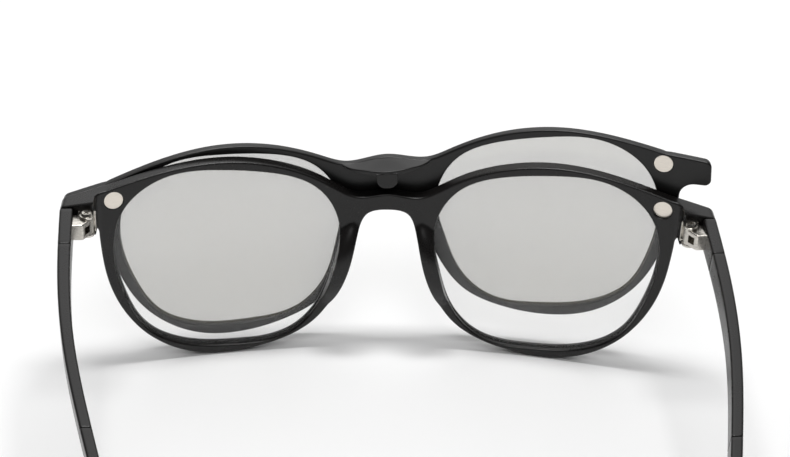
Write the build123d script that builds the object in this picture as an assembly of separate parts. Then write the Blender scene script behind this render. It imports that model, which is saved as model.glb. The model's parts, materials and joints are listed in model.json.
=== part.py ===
from build123d import *
import os
from math import asin, atan2, cos, degrees, hypot, radians, sin, sqrt

# Spectacle frame in black moulded plastic with a magnetic clip-on in front of it.
# Millimetres. The front is modelled upright: X to the wearer's right, Y forward, Z up,
# with the datum in the middle of the bridge, on the rear face. The temples run to -Y.
# At the end everything leans with the front and is moved so that the origin lies in the
# middle of the footprint, on the surface that the rims and the temple tips stand on.

# Widths across the front
bridge_width = 20.68
lens_width = 48.36
end_overhang = 10.3
lens_centre_x = (bridge_width + lens_width) / 2
half_width = lens_centre_x + lens_width / 2 + end_overhang

# Front
brow_height = 10.05
rim_drop = 38.1
front_thickness = 3.0
wrap_radius = 205.0
front_lean = 4.0
end_top_height = 4.2
end_bottom_drop = 1.0
end_length = 7.45
end_corner_radius = 1.4
end_notch_radius = 3.2
end_block_width = 7.0
end_block_depth = 13.1
end_block_fillet = 2.4
cut_reach = 60.0

# Brow line from the middle of the bridge outwards, as shares of half_width and brow_height
brow_shares = ((0, 0.135), (0.098, 0.065), (0.159, 0.249), (0.231, 0.537),
               (0.347, 0.836), (0.527, 1.0), (0.702, 0.866), (0.867, 0.582))

# Lower line from under the end piece round the rim, and on to the top of the nose arch
rim_shares = ((0.890, 0.136), (0.875, 0.380), (0.827, 0.638), (0.730, 0.864), (0.630, 0.969),
              (0.520, 1.0), (0.347, 0.942), (0.236, 0.827), (0.152, 0.593))
arch_shares = ((0.108, 0.341), (0.077, 0.123), (0, 0.059))

# Lens openings
lens_height = 44.62
lens_centre_drop = 13.93
groove_depth = 0.7
lens_thickness = 1.2
lens_clearance = 0.02

# Eye outline as shares of the half width and the half height, from low on the nose side
eye_shares = ((-0.797, -0.601), (-0.489, -0.930), (-0.067, -0.999), (0.348, -0.953),
              (0.723, -0.721), (0.917, -0.299), (0.999, 0.176), (0.887, 0.677), (0.494, 0.969),
              (0.048, 0.987), (-0.361, 0.933), (-0.783, 0.755), (-0.997, 0.313),
              (-0.934, -0.167))

# Nose pads moulded on the rims
pad_length = 24.0
pad_radius = 4.9
pad_centre_x = 10.0
pad_centre_drop = 16.4
pad_set_in = 0.7
pad_slope = 16.0

# Magnets
magnet_x = 58.2
magnet_height = 3.3
magnet_radius = 2.0
magnet_clearance = 0.02
magnet_recess = 0.2
right_magnet_recess = 0.6
clip_magnet_thickness = 1.2

# Hinges, measured from the pin's axis
hinge_inset = 5.8
hinge_top = 3.0
hinge_bottom = -0.6
knuckle_radius = 1.35
ear_radius = 1.5
ear_thickness = 0.5
ear_gap = 0.05
hinge_plate_inner = 1.7
hinge_plate_outer = 1.9
hinge_plate_front = 1.85
hinge_plate_thickness = 0.4
hinge_stud_width = 1.4
hinge_stud_height = 2.0
hinge_stud_length = 1.8
hinge_stud_inner = 0.4
stud_clearance = 0.02
screw_radius = 0.7
screw_clearance = 0.03
screw_head_radius = 1.15
screw_head_top_radius = 0.95
screw_head_height = 0.55
screw_slot_width = 0.35
screw_slot_length = 1.4
screw_slot_depth = 0.35
bracket_back = 3.5
bracket_waist = 0.7
bracket_edge_radius = 0.45
bracket_face_radius = 0.3
bracket_plate_length = 3.0
bracket_plate_start = 0.4
bracket_plate_depth = 0.8
bracket_plate_margin = 0.25
window_size = 1.7
window_depth = 1.5
window_back = 2.15

# Temples
temple_inset = 0.2
temple_gap = 0.6
temple_top = 4.4
temple_height = 5.6
temple_thickness = 2.8
temple_bevel = 0.35
temple_lead = 4.0
temple_straight = 98.0
temple_bend_radius = 34.0
temple_bend = 34.0
temple_tip_length = 28.0
tip_radius = 2.9
head_length = 10.2
arm_length = 60.7
seam_gap = 0.1
tongue_length = 4.0
tongue_thickness = 1.2
tongue_height = 2.6
tongue_clearance = 0.03
left_temple_turn = 2.8
right_temple_turn = 3.1

# Temple stations as shares of its length: distance, height and thickness
temple_shares = ((0, 1.0, 1.0), (0.25, 0.93, 0.86), (0.5, 0.86, 0.83),
                 (0.72, 0.90, 0.87), (0.90, 1.06, 0.93))
# How far the temple curves in towards the head at shares of its length
temple_inward = 20.0
inward_shares = ((0, 0), (0.12, 0.02), (0.27, 0.12), (0.43, 0.34), (0.60, 0.61),
                 (0.80, 0.87), (1.0, 1.0))

# Clip-on
clip_gap = 0.3
clip_thickness = 1.9
clip_drop = 37.4
clip_lens_height = 43.57
clip_lens_width = 47.55
clip_lens_centre_drop = 13.23
clip_bridge_width = 21.03
clip_end_overhang = 10.44
clip_end_length = 6.1
clip_rim_lean = 0.3
clip_end_top_height = 4.7
clip_magnet_x = 58.7
clip_magnet_height = 3.5
clip_arch_shares = ((0.123, 0.455), (0.101, 0.321), (0.080, 0.227), (0, 0.174))
clip_lens_thickness = 0.8
clip_groove_depth = 0.6
clip_bump_height = 3.95
clip_dip_height = 2.9
clip_dip_x = 8.9
clip_dip_rise_x = 14.0
clip_dip_rise = 4.75
canopy_half_width = 9.6
canopy_back = 1.2
canopy_bottom = 1.86
canopy_end_bottom = 2.4
canopy_rear_height = 2.9
tab_width = 4.5
tab_drop = 1.25
tab_thickness = 0.9
tab_corner_radius = 1.9
clip_turn = 4.87

# Places worked out from the values above
hinge_x = half_width - hinge_inset
hinge_y = end_block_depth + hinge_plate_front
temple_x = half_width - temple_inset - temple_thickness / 2
temple_start = end_block_depth + temple_gap
clip_lens_centre_x = (clip_bridge_width + clip_lens_width) / 2
clip_half_width = clip_lens_centre_x + clip_lens_width / 2 + clip_end_overhang
clip_rear = front_thickness + clip_gap
clip_front = clip_rear + clip_thickness
magnet_angle = degrees(asin(magnet_x / wrap_radius))
clip_magnet_angle = degrees(asin(clip_magnet_x / (wrap_radius + clip_rear)))


def mirrored(points):
    """The same points on both sides of the middle, from the left end to the right end."""
    return [(-x, z) for x, z in reversed(points) if x > 0] + list(points)


def end_corners(side, half, length, top, brow, low):
    """Corners of one end piece, from the brow line to the lower line."""
    return [(side * brow[0], brow[1]), (side * half, top), (side * half, -end_bottom_drop),
            (side * (half - length), -end_bottom_drop), (side * low[0], low[1])]


def front_outline(brow, lower, half, length, top):
    """Face of a front seen from behind, with rounded end pieces of the given length."""
    under = list(lower) + [(-x, z) for x, z in reversed(lower) if x > 0]
    right = Polyline(*end_corners(1, half, length, top, brow[-1], lower[0]))
    left = Polyline(*end_corners(-1, half, length, top, brow[-1], lower[0]))
    face = make_face([Spline(*mirrored(brow)), Spline(*under), *right.edges(), *left.edges()])
    near = end_corner_radius / 10
    tips = [v for v in face.vertices() if abs(abs(v.X) - half) < near]
    face = fillet(tips, end_corner_radius)
    notches = [v for v in face.vertices() if abs(abs(v.X) - half + length) < near
               and abs(v.Y + end_bottom_drop) < near]
    return fillet(notches, end_notch_radius)


def eye_outline(eye, margin):
    """Face of one lens outline on the right, grown by a margin."""
    centre_x, drop, width, height = eye
    points = [(centre_x + a * (width / 2 + margin), -drop + b * (height / 2 + margin))
              for a, b in eye_shares]
    return make_face(Spline(*points, periodic=True))


frame_eye = (lens_centre_x, lens_centre_drop, lens_width, lens_height)
clip_eye = (clip_lens_centre_x, clip_lens_centre_drop, clip_lens_width, clip_lens_height)


def through(face):
    """Prism of a face that was drawn from behind, right through the front."""
    return extrude(Plane.XZ * face, cut_reach, both=True)


def both_sides(part):
    """A part on the right and its mirror image on the left."""
    return [part, mirror(part, Plane.YZ)]


def upright_box(x0, x1, y0, y1, z0, z1):
    return Pos((x0 + x1) / 2, (y0 + y1) / 2, (z0 + z1) / 2) * Box(x1 - x0, y1 - y0, z1 - z0)


def upright_rod(radius, z0, z1):
    return Pos(0, 0, (z0 + z1) / 2) * Cylinder(radius, z1 - z0)


def wrap_slab(rear, front):
    """Curved layer of the wrapped front between two distances from its rear face."""
    outer = Cylinder(wrap_radius + front, 2 * cut_reach)
    inner = Cylinder(wrap_radius + rear, 2 * cut_reach)
    return Pos(0, -wrap_radius, 0) * (outer - inner)


def wrap_y(x, distance):
    """How far forward a layer of the wrapped front lies at a place across it."""
    return sqrt((wrap_radius + distance) ** 2 - x ** 2) - wrap_radius


def on_wrap(angle, height, distance):
    """Place on the wrapped front whose own Z points forward, square to the surface."""
    turn = radians(angle)
    radius = wrap_radius + distance
    spot = (radius * sin(turn), radius * cos(turn) - wrap_radius, height)
    return Plane(spot, x_dir=(cos(turn), -sin(turn), 0), z_dir=(sin(turn), cos(turn), 0))


def magnet_disc(angle, height, radius, rear, front):
    """Disc or bore through a magnet's place, between two distances from the rear face."""
    return extrude(on_wrap(angle, height, rear) * Circle(radius), front - rear)


def lens(eye, groove, thickness, middle):
    """Curved lens that fills its opening and its groove."""
    face = eye_outline(eye, groove - lens_clearance)
    half = thickness / 2 - lens_clearance
    return through(face) & wrap_slab(middle - half, middle + half)


def groove_cut(eye, groove, thickness, middle):
    """Groove round a lens opening."""
    slab = wrap_slab(middle - thickness / 2, middle + thickness / 2)
    return through(eye_outline(eye, groove)) & slab


# Glasses front with its moulded end pieces and nose pads
def nose_pad():
    """Moulded swelling behind the rim beside the nose, widest at its middle."""
    arc = ThreePointArc((0, -pad_length / 2), (pad_radius, 0), (0, pad_length / 2))
    blank = revolve(make_face([arc, Line((0, pad_length / 2), (0, -pad_length / 2))]), Axis.Y)
    upright = Rot(0, -pad_slope, 0) * (Rot(90, 0, 0) * blank)
    return Pos(pad_centre_x, pad_set_in, -pad_centre_drop) * upright


def end_block():
    """Block behind an end piece for the hinge, with a hollow corner towards the lens."""
    face_x = half_width - end_block_width
    centre_x = face_x - end_block_fillet
    centre_y = wrap_y(centre_x, -end_block_fillet)
    grow = wrap_radius / (wrap_radius - end_block_fillet)
    touch = (centre_x * grow, (centre_y + wrap_radius) * grow - wrap_radius)
    corner = make_face(Polyline((centre_x, centre_y), (face_x, centre_y), (face_x, touch[1]),
                                touch, close=True))
    corner = corner - Pos(centre_x, centre_y) * Circle(end_block_fillet)
    block = upright_box(face_x, cut_reach + half_width, -end_block_depth, 0,
                        -cut_reach, cut_reach)
    return block + extrude(corner, cut_reach, both=True)


def make_front():
    brow = [(a * half_width, b * brow_height) for a, b in brow_shares]
    lower = [(a * half_width, -b * rim_drop) for a, b in rim_shares + arch_shares]
    outline = through(front_outline(brow, lower, half_width, end_length, end_top_height))
    body = outline & wrap_slab(0, front_thickness)
    behind = outline & wrap_slab(-2 * end_block_depth, front_thickness / 2)
    for piece in both_sides(end_block()) + both_sides(nose_pad()):
        body = body + (piece & behind)
    rear_trim = upright_box(-2 * cut_reach, 2 * cut_reach, -end_block_depth - cut_reach,
                            -end_block_depth, -cut_reach, cut_reach)
    bore = magnet_disc(magnet_angle, magnet_height, magnet_radius + magnet_clearance,
                       -front_thickness, 2 * front_thickness)
    cuts = [rear_trim]
    cuts += both_sides(through(eye_outline(frame_eye, 0)))
    cuts += both_sides(groove_cut(frame_eye, groove_depth, lens_thickness, front_thickness / 2))
    cuts += both_sides(bore)
    cuts += both_sides(hinge_stud(stud_clearance))
    for cut in cuts:
        body = body - cut
    return body


# Hinge parts, on the right, about the pin's axis
hinge_place = Pos(hinge_x, -hinge_y, 0)
inner_face = temple_x - temple_thickness / 2 - hinge_x


def hinge_stud(clearance):
    """Stud that anchors the front hinge in the end piece."""
    middle = (hinge_top + hinge_bottom) / 2
    stud = upright_box(-hinge_stud_inner - clearance,
                       hinge_stud_width - hinge_stud_inner + clearance,
                       hinge_plate_front - hinge_plate_thickness,
                       hinge_plate_front + hinge_stud_length + clearance,
                       middle - hinge_stud_height / 2 - clearance,
                       middle + hinge_stud_height / 2 + clearance)
    return hinge_place * stud


def make_front_hinge():
    low, high = hinge_bottom - ear_gap - ear_thickness, hinge_top + ear_gap + ear_thickness
    back = hinge_plate_front - hinge_plate_thickness
    part = upright_box(-hinge_plate_inner, hinge_plate_outer, back, hinge_plate_front, low, high)
    for z in (low, high - ear_thickness):
        web = upright_box(-ear_radius, ear_radius, 0, back, z, z + ear_thickness)
        part = part + web + upright_rod(ear_radius, z, z + ear_thickness)
    part = part - upright_rod(screw_radius + screw_clearance, low, high)
    return hinge_place * part + hinge_stud(0)


def make_screw():
    low, high = hinge_bottom - ear_gap - ear_thickness, hinge_top + ear_gap + ear_thickness
    head = Pos(0, 0, high + screw_head_height / 2) * Cone(screw_head_radius,
                                                         screw_head_top_radius, screw_head_height)
    deep = high + screw_head_height - screw_slot_depth
    for turn in (45, 135):
        head = head - Rot(0, 0, turn) * upright_box(
            -screw_slot_length / 2, screw_slot_length / 2, -screw_slot_width / 2,
            screw_slot_width / 2, deep, high + screw_head_height)
    return hinge_place * (head + upright_rod(screw_radius, low, high))


def bracket_plate(clearance):
    """Plate of the temple hinge, let into the temple's inner side."""
    return upright_box(inner_face, inner_face + bracket_plate_depth + clearance,
                       -bracket_plate_start - bracket_plate_length - clearance,
                       -bracket_plate_start + clearance,
                       hinge_bottom + bracket_plate_margin - clearance,
                       hinge_top - bracket_plate_margin + clearance)


def make_temple_hinge():
    corner = (-knuckle_radius * cos(radians(30)), -knuckle_radius * sin(radians(30)))
    plan = make_face(Polyline(corner, (bracket_waist, -bracket_back), (inner_face, -bracket_back),
                              (inner_face, knuckle_radius / 2), (0, knuckle_radius), close=True))
    body = Pos(0, 0, hinge_bottom) * extrude(plan, hinge_top - hinge_bottom)
    back = [e for e in body.edges().filter_by(Axis.Z)
            if e.center().Y < -bracket_back * 0.9 and e.center().X < inner_face * 0.9]
    body = fillet(back, bracket_edge_radius)
    slanted = [f for f in body.faces() if f.normal_at().X < 0 and f.normal_at().Y < 0]
    slanted = max(slanted, key=lambda f: f.area)
    rims = [e for e in slanted.edges() if abs(e.tangent_at(0.5).Z) < 0.5]
    body = fillet(rims, bracket_face_radius)
    body = body + upright_rod(knuckle_radius, hinge_bottom, hinge_top)
    run, rise = bracket_waist - corner[0], corner[1] + bracket_back
    slant = degrees(atan2(run, rise))
    middle = (hinge_top + hinge_bottom) / 2
    face_x = corner[0] + run * (window_back + corner[1]) / rise
    window = Box(2 * window_depth, window_size, window_size)
    body = body - Pos(face_x, -window_back, middle) * (Rot(0, 0, slant) * window)
    body = body + bracket_plate(0)
    body = body - upright_rod(screw_radius + screw_clearance, hinge_bottom, hinge_top)
    return hinge_place * body


# Temple, on the right, drawn along -Y from its front end and then pitched down
def temple_path(distance):
    """Point and heading in the temple's side view at a distance along its middle line."""
    turn_length = radians(temple_bend) * temple_bend_radius
    run = min(distance, temple_straight)
    bend = min(max(distance - temple_straight, 0), turn_length) / temple_bend_radius
    rest = max(distance - temple_straight - turn_length, 0)
    back = run + temple_bend_radius * sin(bend) + rest * cos(bend)
    down = temple_bend_radius * (1 - cos(bend)) + rest * sin(bend)
    return back, -down, bend


temple_length = temple_straight + radians(temple_bend) * temple_bend_radius + temple_tip_length


def temple_side():
    """Side view of a temple, with the ear bend and a rounded tip."""
    upper, lower = [(-temple_lead, temple_height / 2)], [(-temple_lead, -temple_height / 2)]
    stations = [(share * temple_length, height * temple_height / 2)
                for share, height, _ in temple_shares]
    for distance, half in stations + [(temple_length - tip_radius, tip_radius)]:
        back, up, bend = temple_path(distance)
        upper.append((back + half * sin(bend), up + half * cos(bend)))
        lower.append((back - half * sin(bend), up - half * cos(bend)))
    tip = temple_path(temple_length)[:2]
    edge = Spline(*upper)
    under = Spline(*lower)
    cap = ThreePointArc(upper[-1], tip, lower[-1])
    return make_face([edge, cap, under, Line(lower[0], upper[0])])


def temple_plan():
    """Plan view of a temple, curving in towards the head."""
    reach = temple_path(temple_length)[0]
    outer, inner = [(temple_thickness / 2, -temple_lead)], [(-temple_thickness / 2, -temple_lead)]
    widths = [(share, width) for share, _, width in temple_shares] + [(1.05, temple_shares[-1][2])]
    for share, inward in inward_shares + ((1.1, 1.05),):
        width = temple_thickness
        for (s0, w0), (s1, w1) in zip(widths, widths[1:]):
            if s0 <= share:
                width = temple_thickness * (w0 + (w1 - w0) * min((share - s0) / (s1 - s0), 1))
        outer.append((width / 2 - inward * temple_inward, share * reach))
        inner.append((-width / 2 - inward * temple_inward, share * reach))
    sides = [Spline(*outer), Spline(*inner)]
    ends = [Line(outer[0], inner[0]), Line(outer[-1], inner[-1])]
    return make_face(sides + ends)


def temple_pitch():
    """Angle that brings the temple tip down to the level of the rims."""
    lean = radians(front_lean)
    back, up, _ = temple_path(temple_length - tip_radius)
    start_z = temple_top - temple_height / 2
    start = temple_start * sin(lean) + start_z * cos(lean)
    drop = start + rim_drop * cos(lean) - tip_radius
    level = asin(drop / hypot(back, up)) - atan2(-up, back)
    return degrees(level) + front_lean


def make_temple():
    side = extrude(Plane.YZ * mirror(temple_side(), Plane.YZ), cut_reach, both=True)
    plan = extrude(mirror(temple_plan(), Plane.XZ), cut_reach, both=True)
    body = side & plan
    front = body.faces().sort_by(Axis.Y)[-1]
    ends = [e.center() for e in front.edges()]
    edges = [e for e in body.edges() if all((e.center() - c).length > seam_gap for c in ends)]
    return chamfer(edges, temple_bevel)


def temple_span(start, end):
    """Box over a stretch of the temple's length."""
    return upright_box(-cut_reach, cut_reach, -end, -start, -cut_reach, cut_reach)


def tongue(at, clearance):
    """Tongue across a seam of the temple, in the middle of its section there."""
    middle = (whole & temple_span(at, at + seam_gap)).bounding_box().center()
    half_t, half_h = tongue_thickness / 2 + clearance, tongue_height / 2 + clearance
    return upright_box(middle.X - half_t, middle.X + half_t,
                       -at - tongue_length / 2 - clearance, -at + tongue_length / 2 + clearance,
                       middle.Z - half_h, middle.Z + half_h)


def place_temple(part):
    """Move a piece of the temple from its drawing to its place beside the end piece."""
    middle = temple_top - temple_height / 2
    return Pos(temple_x, -temple_start, middle) * (Rot(temple_pitch(), 0, 0) * part)


# Clip-on, drawn seated and level with the middle of its own bridge on the datum
def make_canopy(outline):
    """Small roof over the bridge that thins out towards both ends, with a tab below its edge."""
    w, end_y = canopy_half_width, wrap_y(canopy_half_width, clip_rear)
    ahead = (clip_rear + clip_front) / 2
    edge = ThreePointArc((-w, end_y), (0, -canopy_back), (w, end_y))
    plan = make_face([edge, *Polyline((w, end_y), (w, ahead), (-w, ahead), (-w, end_y)).edges()])
    under = ThreePointArc((-w, canopy_end_bottom), (0, canopy_bottom), (w, canopy_end_bottom))
    high = 2 * brow_height
    view = make_face([under, *Polyline((w, canopy_end_bottom), (w, high), (-w, high),
                                       (-w, canopy_end_bottom)).edges()])
    side = make_face(Polyline((-canopy_back, -tab_drop), (ahead, -tab_drop),
                              (ahead, clip_bump_height), (clip_rear, clip_bump_height),
                              (-canopy_back, canopy_rear_height), close=True))
    roof = extrude(plan, cut_reach, both=True) & through(view) & outline
    roof = roof & extrude(Plane.YZ * side, cut_reach, both=True)
    tab_height = (canopy_bottom + canopy_rear_height) / 2 + tab_drop
    tab_face = Pos(0, tab_height / 2 - tab_drop) * Rectangle(tab_width, tab_height)
    tab_face = fillet(tab_face.vertices().sort_by(Axis.Y)[:2], tab_corner_radius)
    return roof + Pos(0, -canopy_back, 0) * extrude(Plane.XZ * tab_face, -tab_thickness)


def make_clip():
    brow = [(0, clip_bump_height), (clip_dip_x, clip_dip_height), (clip_dip_rise_x, clip_dip_rise)]
    brow += [(a * clip_half_width, b * brow_height) for a, b in brow_shares[4:]]
    lower = [(a * clip_half_width, -b * clip_drop) for a, b in rim_shares + clip_arch_shares]
    lower[0] = (clip_half_width - clip_end_length - clip_rim_lean, -rim_shares[0][1] * rim_drop)
    outline = through(front_outline(brow, lower, clip_half_width, clip_end_length,
                                    clip_end_top_height))
    body = (outline & wrap_slab(clip_rear, clip_front)) + make_canopy(outline)
    middle = (clip_rear + clip_front) / 2
    cuts = both_sides(through(eye_outline(clip_eye, 0)))
    cuts += both_sides(groove_cut(clip_eye, clip_groove_depth, clip_lens_thickness, middle))
    cuts += both_sides(magnet_disc(clip_magnet_angle, clip_magnet_height,
                                   magnet_radius + magnet_clearance, 0,
                                   clip_rear + clip_magnet_thickness))
    for cut in cuts:
        body = body - cut
    return body


# All pieces, upright
nodes = {"front_frame": make_front()}
for name, angle, recess in (("frame_magnet_right", magnet_angle, right_magnet_recess),
                            ("frame_magnet_left", -magnet_angle, magnet_recess)):
    nodes[name] = magnet_disc(angle, magnet_height, magnet_radius, recess,
                              front_thickness - magnet_recess)
pairs = {
    "lens": lens(frame_eye, groove_depth, lens_thickness, front_thickness / 2),
    "front_hinge": make_front_hinge(),
    "hinge_screw": make_screw(),
}
for name, part in pairs.items():
    nodes[name + "_right"], nodes[name + "_left"] = both_sides(part)

whole = make_temple()
head = whole & temple_span(-temple_lead, head_length - seam_gap / 2)
arm = whole & temple_span(head_length + seam_gap / 2, arm_length - seam_gap / 2)
tip = whole & temple_span(arm_length + seam_gap / 2, 2 * temple_length)
arm = arm + tongue(head_length, 0) + tongue(arm_length, 0)
head = head - tongue(head_length, tongue_clearance)
tip = tip - tongue(arm_length, tongue_clearance)
ahead_of_start = upright_box(0, 2 * temple_x, -temple_start, cut_reach, -cut_reach, cut_reach)
bracket = make_temple_hinge()
head = place_temple(head) - ahead_of_start - hinge_place * bracket_plate(stud_clearance) - bracket
temple = {"temple_head": head, "temple_arm": place_temple(arm), "temple_tip": place_temple(tip),
          "temple_hinge": bracket}
pin = Axis((hinge_x, -hinge_y, 0), (0, 0, 1))
left_pin = Axis((-hinge_x, -hinge_y, 0), (0, 0, 1))
for name, part in temple.items():
    nodes[name + "_right"] = part.rotate(pin, right_temple_turn)
    nodes[name + "_left"] = mirror(part, Plane.YZ).rotate(left_pin, left_temple_turn)

clip = {"clip_frame": make_clip()}
clip_pairs = {
    "clip_lens": lens(clip_eye, clip_groove_depth, clip_lens_thickness,
                      (clip_rear + clip_front) / 2),
    "clip_magnet": magnet_disc(clip_magnet_angle, clip_magnet_height, magnet_radius, clip_rear,
                               clip_rear + clip_magnet_thickness - lens_clearance),
}
for name, part in clip_pairs.items():
    clip[name + "_right"], clip[name + "_left"] = both_sides(part)

# The clip slides round the wrap until its left magnet sits on the front's left magnet,
# and then turns about that pair, square to the front's surface there
wrap_axis = Axis((0, -wrap_radius, 0), (0, 0, 1))
left_magnet = on_wrap(-magnet_angle, magnet_height, clip_rear)
clip_axis = Axis(left_magnet.origin, -left_magnet.z_dir)
for name, part in clip.items():
    seated = Pos(0, 0, magnet_height - clip_magnet_height) * part
    seated = seated.rotate(wrap_axis, magnet_angle - clip_magnet_angle)
    nodes[name] = seated.rotate(clip_axis, clip_turn)

# Lean the front, then stand the rims and the tips on the surface
leaning = {name: Rot(-front_lean, 0, 0) * part for name, part in nodes.items()}
boxes = [part.bounding_box() for part in leaning.values()]
low = [min(getattr(box.min, k) for box in boxes) for k in "XYZ"]
high = [max(getattr(box.max, k) for box in boxes) for k in "XYZ"]
shift = Pos(-(low[0] + high[0]) / 2, -(low[1] + high[1]) / 2, -low[2])
print("front frame placed at", shift.position, "leaning", -front_lean)
print("hinge pins at", hinge_x, -hinge_y)
print("clip axis in the upright frame", clip_axis)

os.makedirs("parts", exist_ok=True)
for name, part in leaning.items():
    export_step(shift * part, f"parts/{name}.step")
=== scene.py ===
import json
import math

import bmesh
import bpy
import numpy as np
from mathutils import Matrix


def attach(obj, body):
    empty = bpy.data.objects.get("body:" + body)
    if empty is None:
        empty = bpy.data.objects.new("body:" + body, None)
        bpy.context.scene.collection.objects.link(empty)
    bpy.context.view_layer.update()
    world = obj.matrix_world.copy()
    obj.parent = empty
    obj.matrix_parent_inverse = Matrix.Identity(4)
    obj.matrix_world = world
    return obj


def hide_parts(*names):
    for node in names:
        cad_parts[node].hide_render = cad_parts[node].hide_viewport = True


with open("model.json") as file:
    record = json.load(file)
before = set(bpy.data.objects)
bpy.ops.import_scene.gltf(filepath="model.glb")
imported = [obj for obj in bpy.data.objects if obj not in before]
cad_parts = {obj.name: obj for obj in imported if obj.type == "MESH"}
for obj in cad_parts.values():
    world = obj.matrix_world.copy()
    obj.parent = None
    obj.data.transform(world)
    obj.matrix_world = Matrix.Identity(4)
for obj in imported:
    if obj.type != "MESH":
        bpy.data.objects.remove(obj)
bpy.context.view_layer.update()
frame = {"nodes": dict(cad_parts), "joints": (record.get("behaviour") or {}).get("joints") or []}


# The glasses stand on their rims and temple tips, with the front leaning back a little.
# Everything is measured on the upright front, in millimetres, from the middle of the
# bridge's rear face, and the right hinge pin says where that place is on the table.
joints = {joint["name"]: joint for joint in frame["joints"]}
pin = joints["temple_right_fold"]
PIN_X, PIN_BACK, MM_PER_METRE = 63.2, 14.95, 1000
rise_way = -np.array(pin["axis"])
lean = np.array(((1.0, 0.0, 0.0), np.cross(rise_way, (1.0, 0.0, 0.0)), rise_way))
datum = np.array(pin["pos_m"]) * MM_PER_METRE - np.array((PIN_X, -PIN_BACK, 0.0)) @ lean


def standing(points):
    """Places on the upright front, in millimetres, leaned and moved to the standing front."""
    return (np.asarray(points, float) @ lean + datum) / MM_PER_METRE


# Camera above and behind the glasses and a little to their left, looking down at the bridge.
# Its distance and its aim are in millimetres on the same front.
AWAY, CLIMB, SIDE, TILT = 420.0, math.radians(34.0), math.radians(-3.15), math.radians(2.75)
AIM_ACROSS, AIM_OVER = 1.45, -6.169
FILM_WIDTH, FOCAL_LENGTH, NEAREST = 36.0, 88.42, 0.01
behind = np.array((math.sin(SIDE) * math.cos(CLIMB), -math.cos(SIDE) * math.cos(CLIMB),
                   math.sin(CLIMB)))
level = np.array((math.cos(SIDE), math.sin(SIDE), 0.0))
steep = np.cross(behind, level)
across = math.cos(TILT) * level + math.sin(TILT) * steep
over = -math.sin(TILT) * level + math.cos(TILT) * steep
eye = (datum + behind * AWAY + across * AIM_ACROSS + over * AIM_OVER) / MM_PER_METRE
camera = bpy.data.objects.new("camera", bpy.data.cameras.new("camera"))
camera.data.sensor_width = FILM_WIDTH
camera.data.lens = FOCAL_LENGTH
camera.data.clip_start = NEAREST
camera.matrix_world = Matrix([*zip(across, over, behind, eye), (0, 0, 0, 1)])
bpy.context.scene.collection.objects.link(camera)
bpy.context.scene.camera = camera


# Front of the glasses: one moulding of black plastic with both rims, the bridge, the end
# pieces with their hinge blocks and the nose pads. It is bent round a wide circle and its
# edges are softened by polishing.
WRAP, FRONT_THICK, SOFT_EDGE = 205.0, 3.0, 0.42
BROW = np.array(((0, 1.357), (6.76, 0.653), (10.97, 2.502), (15.94, 5.397), (23.94, 8.402),
                 (36.36, 10.05), (48.44, 8.703), (59.82, 5.849)))
RIM = np.array(((61.41, -5.182), (60.38, -14.478), (57.06, -24.308), (50.37, -32.918),
                (43.47, -36.919), (35.88, -38.1), (23.94, -35.89), (16.28, -31.509),
                (10.49, -22.593)))
ARCH = np.array(((7.45, -12.992), (5.85, -6.25), (4.4, -3.65), (2.3, -2.75), (0, -2.6)))
EYE_SHARES = np.array(((-0.797, -0.601), (-0.489, -0.930), (-0.067, -0.999), (0.348, -0.953),
                       (0.723, -0.721), (0.917, -0.299), (0.999, 0.176), (0.887, 0.677),
                       (0.494, 0.969), (0.048, 0.987), (-0.361, 0.933), (-0.783, 0.755),
                       (-0.997, 0.313), (-0.934, -0.167)))
EYE_CENTRE, EYE_WIDTH, EYE_HEIGHT = np.array((34.52, -13.93)), 48.36, 44.62
GROOVE_DEEP, GROOVE_WIDE = 0.7, 1.3
END_AIMS, BRIDGE_AIMS, ARCH_TOP = (42.0, 37.5, 34.5, 33.0), (4.0, 3.0, 1.0, 3.0, 6.0), 5.0
RIM_SHARE = 0.38
END_X, END_TOP, END_DROP, END_LONG = 69.0, 4.2, 1.0, 7.45
END_ROUND, NOTCH_ROUND = 1.4, 3.2
BLOCK_FACE, BLOCK_BACK, BLOCK_FILLET = 62.0, -13.1, 2.4
PAD_PLACE, PAD_IN, PAD_LONG, PAD_THICK = np.array((10.0, -16.4)), 0.7, 24.0, 4.9
PAD_SLOPE, PAD_MELT, PAD_EASE = math.radians(16.0), 0.8, 1.5
MAGNET_X, MAGNET_HEIGHT, BORE, CHAMFER, OVERRUN = 58.2, 3.3, 2.02, 0.12, 1.0

# How finely the moulding is divided along its outlines and round its section, which lengths
# count as nought, in millimetres and in metres, and up to what angle an edge looks smooth
TOP_PLACES, UNDER_PLACES, EYE_PLACES, SEAM_PLACES, CORNER_PLACES = 130, 260, 1440, 9, 11
COLUMN_STEP, ROUND_ROWS, FACE_ROWS, WALL_SHARES, TURN_PLACES = 0.6, 6, 25, (0, 0.3, 0.7, 1), 64
TINY, WELD, SHARPEST = 1e-9, 1e-6, math.radians(35.0)


def wrap_y(x, distance):
    """How far forward a layer lies at a place across: a circle whose radius is the wrap's and
    the layer's distance together, seen from above, less the wrap's own radius."""
    return np.sqrt((WRAP + distance) ** 2 - np.square(x)) - WRAP


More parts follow.
